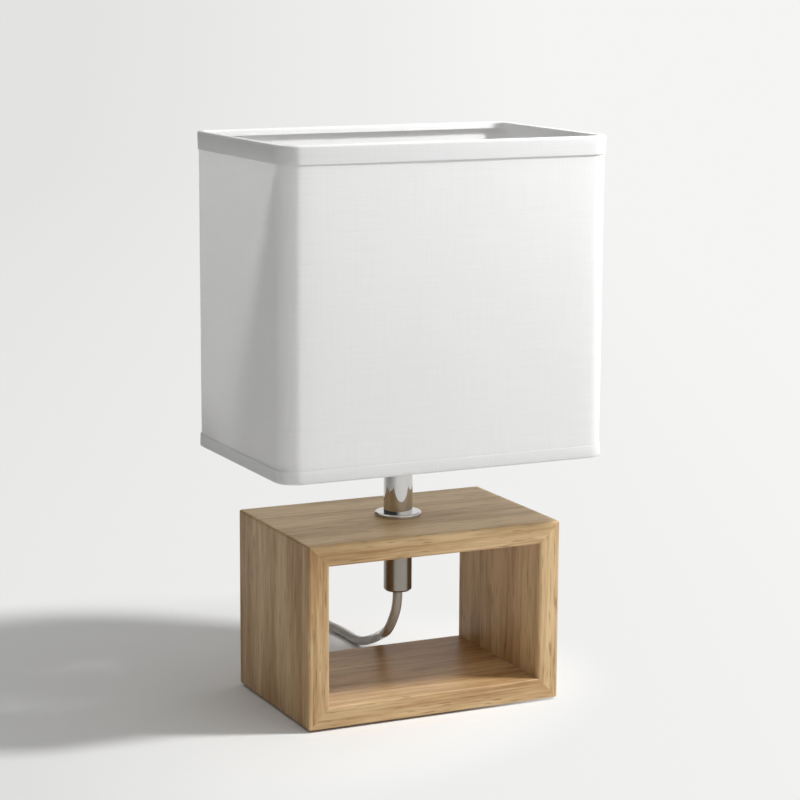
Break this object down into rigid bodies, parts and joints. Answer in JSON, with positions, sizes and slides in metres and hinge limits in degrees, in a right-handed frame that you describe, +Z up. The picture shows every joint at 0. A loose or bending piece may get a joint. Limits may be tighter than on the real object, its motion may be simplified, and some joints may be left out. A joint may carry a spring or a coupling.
{
  "type": "bedside lamp",
  "caption": "Bedside lamp with a white box shade on a short chrome stem, an open mitred wooden frame as its base, and a clear lead with an inline switch and a flat plug.",
  "frame": {"origin": "on the table, under the middle of the base frame", "axes": "+Z up along the stem, X across the front, the front faces -Y and the lead leaves towards +Y"},
  "size_m": [0.1922, 0.4082, 0.312],
  "materials": {
    "oak": "matt oiled",
    "beech_dowel": "plain",
    "felt": "felt",
    "chrome": "polished",
    "satin_nickel": "satin",
    "zinc_steel": "zinc plated",
    "nylon": "natural",
    "holder_plastic": "white",
    "brass": "bright",
    "wire_insulation": "coloured",
    "clear_cord": "clear grey",
    "cotton": "plain weave",
    "liner_film": "white",
    "white_wire": "white",
    "opal_glass": "opal",
    "cap_metal": "nickel plated",
    "black_glass": "vitrite",
    "clear_grey_plastic": "clear grey",
    "rocker_plastic": "white",
    "tie_plastic": "white",
    "pin_metal": "nickel plated",
    "sleeve_plastic": "black"
  },
  "bodies": {
    "lamp": {"base_top_board": "oak", "base_bottom_board": "oak", "base_left_board": "oak", "base_right_board": "oak", "mitre_dowels": "beech_dowel", "felt_pads": "felt", "stem_flange": "chrome", "stem_tube": "chrome", "cord_grip_barrel": "satin_nickel", "grip_screw": "satin_nickel", "threaded_rod": "zinc_steel", "base_washer": "zinc_steel", "lock_nut": "zinc_steel", "rocker_pin": "zinc_steel", "case_screws": "zinc_steel", "cord_grip_bush": "nylon", "cord_clamps": "nylon", "holder_dome": "holder_plastic", "holder_body": "holder_plastic", "shade_ring": "holder_plastic", "contact_block": "holder_plastic", "screw_shell": "brass", "centre_contact": "brass", "terminal_posts": "brass", "switch_contacts": "brass", "contact_bridge": "brass", "holder_wires": "wire_insulation", "switch_wires": "wire_insulation", "lamp_lead": "clear_cord", "cord_hank": "clear_cord", "inner_lead": "clear_cord", "switch_lower_case": "clear_grey_plastic", "switch_upper_case": "clear_grey_plastic", "plug_body": "clear_grey_plastic", "plug_strain_relief": "clear_grey_plastic", "hank_tie": "tie_plastic", "plug_pins": "pin_metal", "pin_sleeves": "sleeve_plastic"},
    "shade": {"shade_cover": "cotton", "shade_liner": "liner_film", "top_hem": "cotton", "bottom_hem": "cotton", "top_wire": "white_wire", "bottom_wire": "white_wire", "carrier_ring": "white_wire", "carrier_arms": "white_wire"},
    "bulb_lift": {"bulb_foot": "cap_metal"},
    "bulb": {"bulb_globe": "opal_glass", "bulb_cap": "cap_metal", "bulb_insulator": "black_glass"},
    "rocker": {"switch_rocker": "rocker_plastic"}
  },
  "joints": [
    {"name": "shade_swivel", "type": "hinge", "parent": "lamp", "child": "shade", "pos_m": [0, 0, 0.1619], "axis": [0, 0, 1], "continuous": true},
    {"name": "bulb_rise", "type": "slide", "parent": "lamp", "child": "bulb_lift", "axis": [0, 0, 1], "range_m": [0, 0.0141]},
    {"name": "bulb_turn", "type": "hinge", "parent": "bulb_lift", "child": "bulb", "pos_m": [0, 0, 0.1699], "axis": [0, 0, 1], "range_deg": [0, 1800]},
    {"name": "rocker_tilt", "type": "hinge", "parent": "lamp", "child": "rocker", "pos_m": [0.011, 0.177, 0.0134], "axis": [1, 0, 0], "range_deg": [0, 16]}
  ],
  "couplings": [
    {"joint": "bulb_rise", "follows": "bulb_turn", "m_per_rad": 0.00044882}
  ]
}
